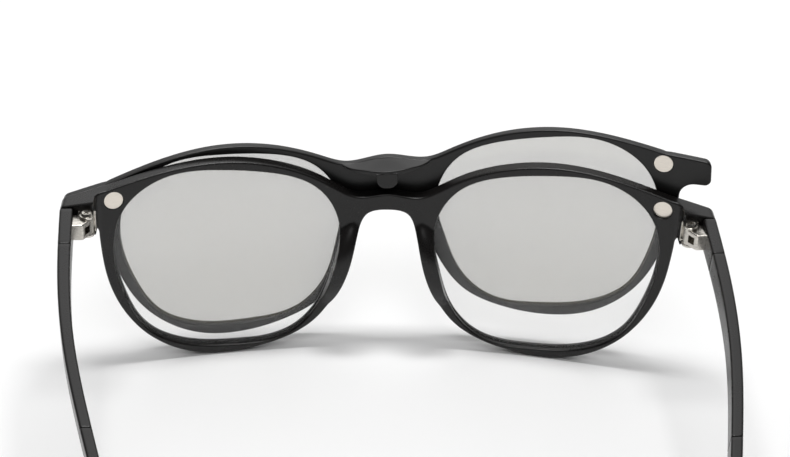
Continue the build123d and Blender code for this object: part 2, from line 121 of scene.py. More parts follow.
def fair_curve(points, count, closed=False):
    """Curve through points: between two of them a cubic, with slopes at the points chosen so
    that the bend doesn't jump, and as many places as asked for at even parameter steps."""
    points = np.asarray(points, float)
    if closed:
        points = np.vstack((points, points[:1]))
    gap = np.hypot(*np.diff(points, axis=0).T)
    rise = np.diff(points, axis=0) / gap[:, None]
    last = len(points) - 1
    weights, wanted = np.zeros((last + 1, last + 1)), np.zeros((last + 1, 2))
    mid = np.arange(1, last)
    weights[mid, mid - 1], weights[mid, mid + 1] = gap[1:], gap[:-1]
    weights[mid, mid] = 2 * (gap[:-1] + gap[1:])
    wanted[mid] = 3 * (gap[1:, None] * rise[:-1] + gap[:-1, None] * rise[1:])
    if closed:
        weights[0, [0, 1, last - 1]] = 2 * (gap[-1] + gap[0]), gap[-1], gap[0]
        wanted[0] = 3 * (gap[0] * rise[-1] + gap[-1] * rise[0])
        weights[last, [0, last]] = -1, 1
    else:
        weights[0, :2], weights[last, -2:] = (2, 1), (1, 2)
        wanted[0], wanted[last] = 3 * rise[0], 3 * rise[-1]
    slope = np.linalg.solve(weights, wanted)
    along = np.r_[0, np.cumsum(gap)]
    at = np.linspace(0, along[-1], count)
    k = np.clip(np.searchsorted(along, at, side="right") - 1, 0, last - 1)
    t, span = ((at - along[k]) / gap[k])[:, None], gap[k][:, None]
    return ((1 + 2 * t) * (1 - t) ** 2 * points[k] + t * (1 - t) ** 2 * span * slope[k]
            + t * t * (3 - 2 * t) * points[k + 1] + t * t * (t - 1) * span * slope[k + 1])


def fair_half(points, count):
    """Right half, from the middle out, of a fair curve that is alike on both sides."""
    both = np.vstack((points[:0:-1] * (-1, 1), points))
    return fair_curve(both, 2 * count - 1)[count - 1:]


def unit(vectors):
    """The same directions with length one. What has no length stays at nought."""
    return vectors / np.maximum(np.linalg.norm(vectors, axis=-1, keepdims=True), TINY)


def rounded_corner(before, corner, after, radius):
    """Arc that touches both sides of a corner. Its middle lies on the bisector, as far away
    as the radius over the sine of half the corner's angle."""
    one, two = unit(before - corner), unit(after - corner)
    half = math.acos(float(one @ two)) / 2
    middle = corner + unit(one + two) * radius / math.sin(half)
    first = corner + one * radius / math.tan(half) - middle
    final = corner + two * radius / math.tan(half) - middle
    share, sweep = np.linspace(0, 1, CORNER_PLACES)[:, None], math.pi - 2 * half
    turn = np.sin((1 - share) * sweep) * first + np.sin(share * sweep) * final
    return middle + turn / math.sin(sweep)


def filled(line, step):
    """The same line with places added evenly where two lie further apart than a step."""
    gap = np.hypot(*np.diff(line, axis=0).T)
    parts = np.maximum(np.ceil(gap / step), 1).astype(int)
    at = np.repeat(np.arange(len(gap)), parts)
    within = np.arange(len(at)) - np.repeat(np.cumsum(parts) - parts, parts)
    share = (within / parts[at])[:, None]
    return np.vstack((line[at] + (line[at + 1] - line[at]) * share, line[-1:]))


def half_outline(brow, lower, end_x, end_top, end_long):
    """Outline of the right half from the bridge's top, over the brow and round the end piece
    with its notch, down the rim and up the nose arch to the middle."""
    top = fair_half(brow, TOP_PLACES)
    under = fair_half(lower[::-1], UNDER_PLACES)[::-1]
    square = np.array((top[-1], (end_x, end_top), (end_x, -END_DROP),
                       (end_x - end_long, -END_DROP), under[0]))
    arcs = [rounded_corner(*square[i - 1:i + 2], radius)
            for i, radius in ((1, END_ROUND), (2, END_ROUND), (3, NOTCH_ROUND))]
    return filled(np.vstack((top, *arcs, under)), COLUMN_STEP), arcs


def bearing(points, middle):
    """Angle in degrees at which places are seen from a middle."""
    return np.degrees(np.arctan2(*(points - middle).T[::-1]))


def rim_columns(brow, lower, end, centre, block):
    """Columns of the right half: for each its place on the outer outline, the way inward from
    there, the bearing from the lens's middle at which it meets the eye outline, and whether
    the block covers it. Those from the number given last run down the cut at the middle."""
    line, arcs = half_outline(brow, lower, *end)
    tangent = np.gradient(line, axis=0)
    inward = unit(np.stack((tangent[:, 1], -tangent[:, 0]), 1))
    inward[0], inward[-1] = (0, -1), (0, 1)

    # Places that steer the columns, and their bearings. The nose arch's flat top follows its
    # shoulders and its middle, and the columns of the end piece fan out. Those that end on
    # the bridge start further up the lens, to stay inside the moulding.
    aside = lower[:, 0] > ARCH_TOP
    aside[-1] = True
    crest = CORNER_PLACES // 2
    keys = np.vstack((brow, arcs[0][crest], arcs[1][crest], arcs[2][0], arcs[2][-1],
                      lower[aside]))
    aims = bearing(keys, centre)
    aims[len(brow) - 1:len(brow) + 3] = END_AIMS
    aims[len(brow) + 4:] -= 360 * (aims[len(brow) + 4:] > 90)
    aims[[0, 1, 2, -2, -1]] -= BRIDGE_AIMS
    along = np.r_[0, np.cumsum(np.hypot(*np.diff(line, axis=0).T))]
    spots = [along[np.argmin(np.hypot(*(line - key).T))] for key in keys]
    angle = np.interp(along, spots, aims)

    # Where the outline passes the block's inner face, two columns share one place
    state = np.column_stack((line, inward, angle, np.zeros(len(line))))
    if block:
        state[:, 5] = line[:, 0] > block[0]
        for k in np.flatnonzero(np.diff(state[:, 5]))[::-1]:
            share = (block[0] - state[k, 0]) / (state[k + 1, 0] - state[k, 0])
            pair = np.tile(state[k] + (state[k + 1] - state[k]) * share, (2, 1))
            pair[:, 5] = state[k:k + 2, 5]
            state = np.insert(state, k + 1, pair, axis=0)
    seam_from = len(state) - 1
    seam = np.zeros((SEAM_PLACES, state.shape[1]))
    seam[:, 1] = np.linspace(lower[-1, 1] + SOFT_EDGE, brow[0, 1] - SOFT_EDGE, SEAM_PLACES)
    seam[:, 4] = np.linspace(state[-1, 4], state[0, 4] - 360, SEAM_PLACES)
    state = np.vstack((state, seam[1:-1]))
    return state[:, :2], unit(state[:, 2:4]), state[:, 4], state[:, 5] > 0, seam_from


def eye_edge(eye, angle):
    """Places on the eye outline at bearings from its middle, the way into the moulding there,
    and the same places on the floor of the groove."""
    centre, wide, high, groove_deep, _ = eye
    opening = centre + EYE_SHARES * (wide / 2, high / 2)
    dense = fair_curve(opening, EYE_PLACES + 1, closed=True)[:-1]
    slope = np.roll(dense, -1, axis=0) - np.roll(dense, 1, axis=0)
    away = unit(np.stack((slope[:, 1], -slope[:, 0]), 1))
    away = away * np.sign(np.sum(away * (dense - centre), axis=1, keepdims=True))
    turn = bearing(dense, centre)
    inner, off = [np.stack([np.interp(angle, turn, values, period=360) for values in kind.T], 1)
                  for kind in (dense, away)]
    grooved = centre + (inner - centre) * (1 + groove_deep * 2 / wide,
                                           1 + groove_deep * 2 / high)
    return inner, unit(off), grooved


def half_rim(brow, lower, end, eye, rear, front, height, block=None):
    """Right half of a front as one closed grid. Its columns run round the lens opening, each
    from a place on the eye outline to a place on the outer outline, and its rows run round the
    section: over the rear face, down the outer wall, over the front face and back through the
    groove. A quarter circle rounds each edge. Where the end piece has a block, the rear rows
    stop at its inner face and climb it to the block's own rear face."""
    outer, inward, angle, blocked, seam_from = rim_columns(brow, lower, end, eye[0], block)
    inner, off, grooved = eye_edge(eye, angle)

    # Where the rim is narrow, its edges are rounded by less
    soft = np.minimum(SOFT_EDGE, RIM_SHARE * np.hypot(*(outer - inner).T))
    round_by = soft[:, None]
    start, stop = inner + off * round_by, outer + inward * round_by
    foot, back = stop.copy(), height(stop)
    lip = np.zeros(len(stop))
    if block:
        share = np.clip((block[0] - start[:, 0]) / (stop[:, 0] - start[:, 0]), 0, 1)
        foot[blocked] = (start + (stop - start) * share[:, None])[blocked]
        back[blocked] = block[1]
        lip[blocked] = np.minimum(SOFT_EDGE, np.hypot(*(stop - foot).T))[blocked]
    lipped = foot + unit(stop - foot) * lip[:, None]

    rows, bend = [], np.linspace(0, math.pi / 2, ROUND_ROWS)
    ease = 0.5 - 0.5 * np.cos(np.linspace(0, math.pi, FACE_ROWS))

    def row(places, depth):
        rows.append(np.stack((places[:, 0], depth, places[:, 1]), 1))

    # Round the lens's rear edge, over the rear face, up the block and over the block's face
    for a in bend:
        row(inner + off * round_by * (1 - math.cos(a)),
            height(start) + soft * (1 - math.sin(a)))
    for share in ease[1:]:
        places = start + (foot - start) * share
        row(places, height(places))
    for a in bend:
        row(foot + (lipped - foot) * (1 - math.cos(a)),
            np.where(blocked, back + lip * (1 - math.sin(a)), height(foot)))
    for share in ease[4::4]:
        row(lipped + (stop - lipped) * share, back)

    # Down the outer wall, with a rounded edge on both sides. The cut at the middle has no wall
    first = len(rows) - 1
    for a in bend[1:]:
        row(outer + inward * round_by * (1 - math.sin(a)), back + soft * (1 - math.cos(a)))
    level = height(stop) + soft
    for share in WALL_SHARES:
        row(outer, level + (wrap_y(outer[:, 0], front) - soft - level) * share)
    for a in bend[1:]:
        places = outer + inward * round_by * (1 - math.cos(a))
        row(places, wrap_y(places[:, 0], front) - soft * (1 - math.sin(a)))
    final = len(rows) - 1

    # Back over the front face, round the lens's front edge and through the groove
    for share in ease[2::2]:
        places = stop + (start - stop) * share
        row(places, wrap_y(places[:, 0], front))
    for a in bend[1:]:
        places = inner + off * round_by * (1 - math.sin(a))
        row(places, wrap_y(places[:, 0], front) - soft * (1 - math.cos(a)))
    middle, reach = (rear + front) / 2, eye[-1] / 2
    for places, depth in ((inner, reach), (grooved, reach), (grooved, -reach), (inner, -reach)):
        row(places, wrap_y(places[:, 0], middle + depth))

    points = np.array(rows)
    skipped = np.zeros(points.shape[:2], bool)
    skipped[first:final, seam_from:] = True
    return points, grid_faces(points.shape, True, skipped)


def grid_faces(shape, around=False, skipped=None):
    """Four-cornered faces between neighbours of a grid whose rows are closed loops. The
    columns close too if asked, and skipped places give no face."""
    across_row, down_column = np.meshgrid(np.arange(shape[1]), np.arange(shape[0]))
    keep = np.ones(shape[:2], bool) if skipped is None else ~skipped
    keep[-1] &= around
    here, right = down_column * shape[1], (across_row + 1) % shape[1]
    below = (down_column + 1) % shape[0] * shape[1]
    faces = np.stack((here + across_row, here + right, below + right, below + across_row), -1)
    return faces[keep]


def moulded(name, *parts):
    """Piece made of grids of places, in metres, and their faces: they are joined, places that
    coincide are merged, and the faces are turned outwards."""
    starts = np.cumsum([0] + [points.size // 3 for points, _ in parts])
    places = np.vstack([points.reshape(-1, 3) for points, _ in parts])
    faces = np.vstack([faces + start for (_, faces), start in zip(parts, starts)])
    mesh = bpy.data.meshes.new(name)
    mesh.from_pydata(places.tolist(), [], faces.tolist())
    work = bmesh.new()
    work.from_mesh(mesh)
    bmesh.ops.remove_doubles(work, verts=work.verts, dist=WELD)
    bmesh.ops.recalc_face_normals(work, faces=work.faces)
    work.to_mesh(mesh)
    work.free()
    piece = bpy.data.objects.new(name, mesh)
    bpy.context.scene.collection.objects.link(piece)
    return soften(piece)


def soften(piece):
    """Shade a piece smoothly, except across its sharpest edges."""
    piece.data.shade_smooth()
    piece.data.set_sharp_from_angle(angle=SHARPEST)
    return piece


def trimmed(piece, operation, *others):
    """Join or cut away other closed pieces, which are used up."""
    for other in others:
        step = piece.modifiers.new(operation.lower(), "BOOLEAN")
        step.operation, step.object, step.solver = operation, other, "EXACT"
    seen = piece.evaluated_get(bpy.context.evaluated_depsgraph_get())
    mesh = bpy.data.meshes.new_from_object(seen)
    piece.modifiers.clear()
    piece.data = mesh
    for other in others:
        bpy.data.objects.remove(other)
    return soften(piece)


def both_halves(half, place=standing):
    """A right half and its mirror image, whose faces run the other way round."""
    points, faces = half
    return (place(points), faces), (place(points * (-1, 1, 1)), faces[:, ::-1])


def turned(profile):
    """Profile of radius and distance carried round an axis that points forward."""
    turn = np.linspace(0, 2 * math.pi, TURN_PLACES, endpoint=False)
    radius, ahead = np.asarray(profile, float).T[:, :, None]
    return np.stack((radius * np.cos(turn), ahead + 0 * turn, radius * np.sin(turn)), -1)


def on_wrap(points, x, height):
    """Turn places drawn about an axis that points forward, so that the axis stands square to
    the front's rear face at a place across it and at a height."""
    turn = math.asin(x / WRAP)
    facing = np.array(((math.cos(turn), -math.sin(turn), 0), (math.sin(turn), math.cos(turn), 0),
                       (0, 0, 1)))
    return points @ facing + (x, math.cos(turn) * WRAP - WRAP, height)


def front_height(places):
    """Rear face of the front: the wrap's circle, the hollow corner that climbs a quarter
    circle to the hinge block, and the nose pads, each a spindle turned from a circular arc,
    whose skirt is eased out and melts into the face."""
    x, z = places.T
    corner_x = BLOCK_FACE - BLOCK_FILLET
    corner_y = wrap_y(corner_x, -BLOCK_FILLET)
    curl = corner_y + np.sqrt(np.maximum(BLOCK_FILLET ** 2 - (x - corner_x) ** 2, 0))
    face = wrap_y(x, 0)
    meet = corner_x * WRAP / (WRAP - BLOCK_FILLET)
    face = np.where(x > meet, np.minimum(np.where(x > BLOCK_FACE, corner_y, curl), face), face)
    east, north = (places - PAD_PLACE).T
    along = north * math.cos(PAD_SLOPE) - east * math.sin(PAD_SLOPE)
    aside = north * math.sin(PAD_SLOPE) + east * math.cos(PAD_SLOPE)
    bow = (PAD_LONG ** 2 / 4 + PAD_THICK ** 2) / (2 * PAD_THICK)
    girth = np.sqrt(np.maximum(bow ** 2 - along ** 2, 0)) - (bow - PAD_THICK)
    swell = np.sign(girth) * girth ** 2 - aside ** 2
    proud = swell / np.sqrt(np.abs(swell) + PAD_EASE) - PAD_IN + face
    return face - (proud + np.sqrt(proud ** 2 + PAD_MELT ** 2)) / 2


def bore(x, height, rear, ahead, place):
    """Holes for a pair of magnets, each a turned cutter with a small chamfer at both ends."""
    flare, first, last = BORE + OVERRUN + CHAMFER, rear - OVERRUN, ahead + OVERRUN
    cutter = turned(((0, first), (flare, first), (BORE, rear + CHAMFER),
                     (BORE, ahead - CHAMFER), (flare, last), (0, last)))
    half = on_wrap(cutter, x, height), grid_faces(cutter.shape)
    return [moulded("bore", part) for part in both_halves(half, place)]


front = moulded("front", *both_halves(half_rim(
    BROW, np.vstack((RIM, ARCH)), (END_X, END_TOP, END_LONG),
    (EYE_CENTRE, EYE_WIDTH, EYE_HEIGHT, GROOVE_DEEP, GROOVE_WIDE), 0, FRONT_THICK,
    front_height, (BLOCK_FACE, BLOCK_BACK))))
trimmed(front, "DIFFERENCE", *bore(MAGNET_X, MAGNET_HEIGHT, 0, FRONT_THICK, standing))


class Reading:
    """A socket that adds Math nodes when it is reckoned with."""

    def __init__(self, bench, socket):
        self.bench, self.socket = bench, socket

    def maths(self, operation, one, other):
        return self.bench.node("ShaderNodeMath", {"operation": operation}, {0: one, 1: other})

    def __add__(self, other):
        return self.maths("ADD", self, other)

    def __radd__(self, other):
        return self.maths("ADD", other, self)

    def __rsub__(self, other):
        return self.maths("SUBTRACT", other, self)

    def __mul__(self, other):
        return self.maths("MULTIPLY", self, other)

    def __rmul__(self, other):
        return self.maths("MULTIPLY", other, self)

    def __pow__(self, other):
        return self.maths("POWER", self, other)


class Bench:
    """A node tree that is put together node by node."""

    def __init__(self, owner):
        owner.use_nodes = True
        self.tree = owner.node_tree

    def node(self, kind, settings, values, out=0):
        """Add a node with its settings and sockets, and give back one of its outputs."""
        made = self.tree.nodes.new(kind)
        for name, value in settings.items():
            if name == "stops":
                ramp = made.color_ramp
                while len(ramp.elements) < len(value):
                    ramp.elements.new(1.0)
                for element, (place, shade) in zip(ramp.elements, value):
                    element.position = place
                    shade = shade if isinstance(shade, tuple) else (shade,) * 3
                    element.color = (*shade, 1.0)
            else:
                setattr(made, name, value)
        for key, value in values.items():
            if isinstance(value, Reading):
                self.tree.links.new(value.socket, made.inputs[key])
            else:
                made.inputs[key].default_value = value
        return Reading(self, made.outputs[out])


class Finish(Bench):
    """A material of one Principled shader."""

    def __init__(self, name, **constants):
        self.material = bpy.data.materials.new(name)
        super().__init__(self.material)
        self.shader = next(n for n in self.tree.nodes if n.type == "BSDF_PRINCIPLED")
        for socket, value in constants.items():
            self.shader.inputs[socket.replace("_", " ")].default_value = value

    def drive(self, socket, reading):
        """Feed one of the shader's sockets."""
        self.tree.links.new(reading.socket, self.shader.inputs[socket])

    def place(self, scale=(1.0, 1.0, 1.0)):
        """Place on the piece, in metres, stretched."""
        spot = self.node("ShaderNodeTexCoord", {}, {}, out="Object")
        return self.node("ShaderNodeMapping", {}, {"Vector": spot, "Scale": scale})

    def speckle(self, spot, scale, detail=2.0, roughness=0.5):
        """Noise from 0 to 1 at a number of waves per metre."""
        return self.node("ShaderNodeTexNoise", {"normalize": True},
                         {"Vector": spot, "Scale": scale, "Detail": detail,
                          "Roughness": roughness})

    def tint(self, factor, stops):
        """Colour read from a ramp of places and shades."""
        return self.node("ShaderNodeValToRGB", {"stops": stops}, {"Fac": factor})

    def relief(self, height, distance, strength):
        """Raise and sink the skin by up to a distance in metres."""
        bump = self.node("ShaderNodeBump", {}, {"Height": height, "Distance": distance,
                                                "Strength": strength})
        self.drive("Normal", bump)


DRIFT_WAVES, TOUCH_WAVES, GRAIN_WAVES = 55.0, 160.0, 5200.0
TOUCH_GLOSS, GRAIN_GLOSS, GRAIN_DEEP = 0.08, 0.04, 0.00001


def black_plastic(name, dark, light, gloss):
    """Satin black skin whose colour drifts a little, whose gloss is uneven where hands have
    been, and whose grain is too fine to see singly."""
    skin = Finish(name, Specular_IOR_Level=0.36, IOR=1.5)
    spot = skin.place()
    drift = skin.speckle(spot, DRIFT_WAVES, detail=3.0)
    skin.drive("Base Color", skin.tint(drift, ((0.3, dark), (0.7, light))))
    grain = skin.speckle(spot, GRAIN_WAVES, roughness=0.6)
    touch = skin.speckle(spot, TOUCH_WAVES, detail=4.0, roughness=0.55)
    skin.drive("Roughness", gloss + TOUCH_GLOSS * touch + GRAIN_GLOSS * grain)
    skin.relief(grain, GRAIN_DEEP, strength=0.3)
    return skin.material


def dress(piece, material, body, slot, *nodes):
    """Give a new piece its finish and its body, and hide the CAD nodes that it stands for."""
    piece.data.materials.clear()
    piece.data.materials.append(material)
    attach(piece, body)
    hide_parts(*nodes)


frame_skin = black_plastic("frame plastic", dark=(0.0050, 0.0045, 0.0044),
                           light=(0.0080, 0.0072, 0.0070), gloss=0.22)
dress(front, frame_skin, "front", "frame_plastic", "front_frame")


# Temples: bars of the same plastic in three pieces each, a short head behind the end piece,
# an arm, and a tip that bends down behind the ear. The edges are bevelled, and the seams
# show as fine lines. The hinge's plate is let into the head.
TEMPLE_X, TEMPLE_START, TEMPLE_TOP, TEMPLE_HIGH, TEMPLE_THICK = 67.4, 13.7, 4.4, 5.6, 2.8
TEMPLE_BEVEL, BAR_END_ROUND, TEMPLE_AHEAD, TIP_SHARE = 0.5, 0.25, 4.0, 0.45
STRAIGHT, BEND_ROUND, BEND, TIP_LONG, TIP_ROUND = 98.0, 34.0, math.radians(34.0), 28.0, 2.9
BEND_LONG = BEND * BEND_ROUND
TEMPLE_LONG = STRAIGHT + BEND_LONG + TIP_LONG
SEAMS, SEAM, INWARD = (10.2, 60.7), 0.02, 20.0
FRONT_LEAN, RIM_DROP = math.radians(4.0), 38.1
TURNS = {"left": math.radians(2.8), "right": math.radians(3.1)}
TEMPLE_SHARES = np.array(((0, 1, 1), (0.25, 0.93, 0.86), (0.5, 0.86, 0.83), (0.72, 0.90, 0.87),
                          (0.90, 1.06, 0.93)))
INWARD_SHARES = np.array(((0, 0), (0.12, 0.02), (0.27, 0.12), (0.43, 0.34), (0.60, 0.61),
                          (0.80, 0.87), (1.0, 1.0)))
BAR_STEP, BAR_END_ROWS, TIP_ROWS, BEVEL_PLACES, FLAT_PLACES, SHARE_PLACES = 0.9, 5, 15, 6, 5, 600


def temple_line(distance):
    """Middle line in the side view: straight, then an arc for the ear, then straight. Gives
    how far back, how far up, and the angle that it heads down by."""
    bend = np.clip(distance - STRAIGHT, 0, BEND_LONG) / BEND_ROUND
    rest = np.maximum(distance - STRAIGHT - BEND_LONG, 0)
    back = np.minimum(distance, STRAIGHT) + BEND_ROUND * np.sin(bend) + rest * np.cos(bend)
    down = BEND_ROUND * (1 - np.cos(bend)) + rest * np.sin(bend)
    return back, -down, bend


def followed(keys, values, at):
    """Fair curve through values at keys, read at given places."""
    return np.interp(at, *fair_curve(np.column_stack((keys, values)), SHARE_PLACES).T)


tip_from = TEMPLE_LONG - TIP_ROUND
half_heights = np.r_[TEMPLE_HIGH, TEMPLE_SHARES[:, 1] * TEMPLE_HIGH, 2 * TIP_ROUND] / 2
height_keys = np.r_[-TEMPLE_AHEAD, TEMPLE_SHARES[:, 0] * TEMPLE_LONG, tip_from]
reach_back = float(temple_line(TEMPLE_LONG)[0])
tip_back, tip_up, _ = temple_line(tip_from)
drop = (TEMPLE_START * math.sin(FRONT_LEAN) - TIP_ROUND
        + (TEMPLE_TOP - TEMPLE_HIGH / 2 + RIM_DROP) * math.cos(FRONT_LEAN))
pitch = (math.asin(drop / math.hypot(tip_back, tip_up)) - math.atan2(-tip_up, tip_back)
         + FRONT_LEAN)


def bar_section():
    """Loop round a bar as four columns: corner across, corner up, and the direction of the
    bevel's quarter circle at each corner or of the flat between two corners."""
    loop, signs = [], np.array(((1, 1), (-1, 1), (-1, -1), (1, -1)))
    for quarter, here in enumerate(signs):
        there = signs[(quarter + 1) % 4]
        swing = np.linspace(0, math.pi / 2, BEVEL_PLACES) + quarter * math.pi / 2
        loop.append(np.column_stack((np.tile(here, (BEVEL_PLACES, 1)), np.cos(swing),
                                     np.sin(swing))))
        share = np.linspace(0, 1, FLAT_PLACES + 2)[1:-1, None]
        facing = np.tile((np.cos(swing[-1]), np.sin(swing[-1])), (FLAT_PLACES, 1))
        loop.append(np.column_stack((here + (there - here) * share, facing)))
    return np.vstack(loop)


section = bar_section()


def bar(start, end, is_head=False, is_tip=False):
    """One piece of a temple between two distances along it. The section is carried along the
    middle line, grows and shrinks with it, and is drawn in over a quarter circle at both
    ends. A tip closes over the half circle that its side view ends in."""
    quarter = np.linspace(0, math.pi / 2, BAR_END_ROWS)
    far = end - (TIP_ROUND if is_tip else BAR_END_ROUND)
    body = np.arange(start + BAR_END_ROUND, far, BAR_STEP)[1:]
    if is_tip:
        close = np.linspace(0, math.pi / 2, TIP_ROWS)
        tail, tail_in, squeeze = far + TIP_ROUND * np.sin(close), 0 * close, np.cos(close)
    else:
        tail = far + BAR_END_ROUND * np.sin(quarter)
        tail_in = BAR_END_ROUND * (1 - np.cos(quarter))
        squeeze = np.ones(len(quarter))
    at = np.r_[start + BAR_END_ROUND * (1 - np.cos(quarter)), body, tail]
    drawn = np.r_[BAR_END_ROUND * (1 - np.sin(quarter)), 0 * body, tail_in][:, None]
    squeeze = np.r_[np.ones(len(at) - len(tail)), squeeze][:, None]
    back, up, bend = (values[:, None] for values in temple_line(at))
    high = followed(height_keys, half_heights, np.minimum(at, tip_from))[:, None]
    high = high * squeeze - drawn
    bevel = np.minimum(TEMPLE_BEVEL, high)
    lift = section[:, 1] * (high - bevel) + section[:, 3] * bevel
    back, up = back + lift * np.sin(bend), up + lift * np.cos(bend)
    if is_head:
        back = back - up * math.tan(pitch) * np.clip(1 - at[:, None] / SEAMS[0], 0, 1)
    thick = np.interp(back, TEMPLE_SHARES[:, 0] * reach_back, TEMPLE_SHARES[:, 2] * TEMPLE_THICK)
    thick = thick / 2 * (TIP_SHARE + (1 - TIP_SHARE) * np.sqrt(squeeze)) - drawn
    inward = followed(INWARD_SHARES[:, 0] * reach_back, INWARD_SHARES[:, 1] * INWARD, back)
    aside = section[:, 0] * (thick - bevel) + section[:, 2] * bevel - inward
    points = capped(np.stack((aside, -back, up), -1))
    swivel = np.array(((1, 0, 0), (0, math.cos(pitch), math.sin(pitch)),
                       (0, -math.sin(pitch), math.cos(pitch))))
    return points @ swivel + (TEMPLE_X, -TEMPLE_START, TEMPLE_TOP - TEMPLE_HIGH / 2)


def capped(points):
    """The same grid with its first and its last loop closed to their middles."""
    caps = [np.broadcast_to(loop.mean(axis=0), (1, *loop.shape)) for loop in points[[0, -1]]]
    return np.concatenate((caps[0], points, caps[1]))


def about_pin(points, side):
    """Turn a right temple about its pin, or mirror it first for the left one."""
    sign = 1 if side == "right" else -1
    points = points * (sign, 1, 1) - (sign * PIN_X, -PIN_BACK, 0)
    c, s = math.cos(TURNS[side]), math.sin(TURNS[side])
    points = points @ np.array(((c, s, 0), (-s, c, 0), (0, 0, 1)))
    return points + (sign * PIN_X, -PIN_BACK, 0)


bars = {"head": bar(0, SEAMS[0] - SEAM / 2, is_head=True),
        "arm": bar(SEAMS[0] + SEAM / 2, SEAMS[1] - SEAM / 2),
        "tip": bar(SEAMS[1] + SEAM / 2, TEMPLE_LONG, is_tip=True)}
for name, points in bars.items():
    for side in TURNS:
        piece = moulded(f"{side}_temple_{name}",
                        (standing(about_pin(points, side)), grid_faces(points.shape)))
        dress(piece, frame_skin, f"temple_{side}", "frame_plastic", f"temple_{name}_{side}")


# Clip-on: a second, thinner front of the same black plastic that hangs half turned up from
# its left magnet. A small roof with a tab reaches back over the bridge.
CLIP_REAR, CLIP_FRONT = 3.3, 5.2
CLIP_EYE_CENTRE, CLIP_EYE_WIDTH, CLIP_EYE_HEIGHT = np.array((34.29, -13.23)), 47.55, 43.57
CLIP_GROOVE_DEEP, CLIP_GROOVE_WIDE = 0.6, 0.88
CLIP_HALF, CLIP_TOP, CLIP_LONG, CLIP_LEAN, CLIP_DROP = 68.505, 4.7, 6.1, 0.3, 37.4
CLIP_MAGNET_X, CLIP_MAGNET_HEIGHT, CLIP_DISC = 58.7, 3.5, 1.2
CLIP_SCALE = CLIP_HALF / END_X
CLIP_BROW = np.vstack(((0, 3.95), (8.9, 2.9), (14, 4.75), BROW[4:] * (CLIP_SCALE, 1)))
CLIP_RIM = RIM * (CLIP_SCALE, CLIP_DROP / RIM_DROP)
CLIP_RIM[0] = CLIP_HALF - CLIP_LONG - CLIP_LEAN, RIM[0, 1]
CLIP_ARCH = np.array(((8.426, -17.017), (6.919, -12.005), (5.48, -8.49), (0, -6.508)))
ROOF_HALF, ROOF_BACK, ROOF_UNDER, ROOF_END_UNDER, ROOF_REAR_TOP = 9.6, -1.2, 1.86, 2.4, 2.9
ROOF_EDGE, ROOF_DISH, ROOF_SINK, ROOF_MELT, ROOF_EDGE_SHARE = 0.22, 0.05, 0.05, 0.4, 0.4
TAB_WIDE, TAB_DROP, TAB_THICK, TAB_ROUND, TAB_EDGE = 4.5, 1.25, 0.9, 1.9, 0.2
ROOF_PLACES, ROOF_BROW_PLACES, ROOF_UNDER_ROWS, ROOF_TOP_ROWS = 97, 200, 7, 12
TAB_STEP, TAB_EDGE_ROWS, TAB_RINGS = 0.25, 5, 14


def clip_height(places):
    """Rear face of the clip: a circle round the wrap's middle."""
    return wrap_y(places[:, 0], CLIP_REAR)


def hung(points):
    """Seated places of the clip, lowered and slid round the wrap until the left magnets meet,
    then turned about that pair to where the photograph shows it."""
    points = np.asarray(points, float) + (0, WRAP, MAGNET_HEIGHT - CLIP_MAGNET_HEIGHT)
    slide = math.asin(MAGNET_X / WRAP) - math.asin(CLIP_MAGNET_X / (WRAP + CLIP_REAR))
    c, s = math.cos(slide), math.sin(slide)
    points = standing(points @ np.array(((c, s, 0), (-s, c, 0), (0, 0, 1))) - (0, WRAP, 0))
    hook = joints["clip_turn"]
    turn = Matrix.Rotation(math.radians(-hook["range_deg"][0]), 3, hook["axis"])
    return (points - hook["pos_m"]) @ np.array(turn).T + hook["pos_m"]


def roof():
    """Roof over the bridge: seen from above its rear edge is an arc, its underside rises to
    both ends, and its top slopes back, a little dished, from the clip's upper edge."""
    x = np.linspace(-ROOF_HALF, ROOF_HALF, ROOF_PLACES)
    end_y, ahead = wrap_y(ROOF_HALF, CLIP_REAR), (CLIP_REAR + CLIP_FRONT) / 2
    bow = (ROOF_HALF ** 2 + (end_y - ROOF_BACK) ** 2) / (2 * (end_y - ROOF_BACK))
    edge = ROOF_BACK + bow - np.sqrt(bow ** 2 - x ** 2)
    under = ROOF_UNDER + (ROOF_END_UNDER - ROOF_UNDER) * (x / ROOF_HALF) ** 2
    brow = np.interp(np.abs(x), *fair_half(CLIP_BROW, ROOF_BROW_PLACES).T)
    slope = (CLIP_BROW[0, 1] - ROOF_REAR_TOP) / (CLIP_REAR - ROOF_BACK)

    def top(y):
        dish = ROOF_DISH * np.clip((y - edge) * (CLIP_REAR - y), 0, None) / CLIP_REAR
        plane, limit = ROOF_REAR_TOP + slope * (y - ROOF_BACK) - dish, brow - ROOF_SINK
        return (plane + limit - np.sqrt((plane - limit) ** 2 + ROOF_MELT ** 2)) / 2

    soft = np.minimum(ROOF_EDGE, (top(edge) - under) * ROOF_EDGE_SHARE)
    bend = np.linspace(0, math.pi / 2, ROUND_ROWS)
    loop = [(ahead + 0 * x, under + ROOF_EDGE)]
    loop += [(ahead + (edge + soft - ahead) * share, under)
             for share in np.linspace(0, 1, ROOF_UNDER_ROWS)]
    loop += [(edge + soft * (1 - math.sin(a)), under + soft * (1 - math.cos(a)))
             for a in bend[1:]]
    for a in bend:
        y = edge + soft * (1 - math.cos(a))
        loop.append((y, top(y) - soft * (1 - math.sin(a))))
    for share in np.linspace(0, 1, ROOF_TOP_ROWS)[1:]:
        y = edge + soft + (CLIP_REAR + SOFT_EDGE - edge - soft) * share
        loop.append((y, top(y)))
    loop.append((ahead + 0 * x, top(CLIP_REAR + 0 * x) - 2 * ROOF_EDGE))
    return capped(np.array([np.stack((x, y, z), -1) for y, z in loop]).transpose(1, 0, 2))


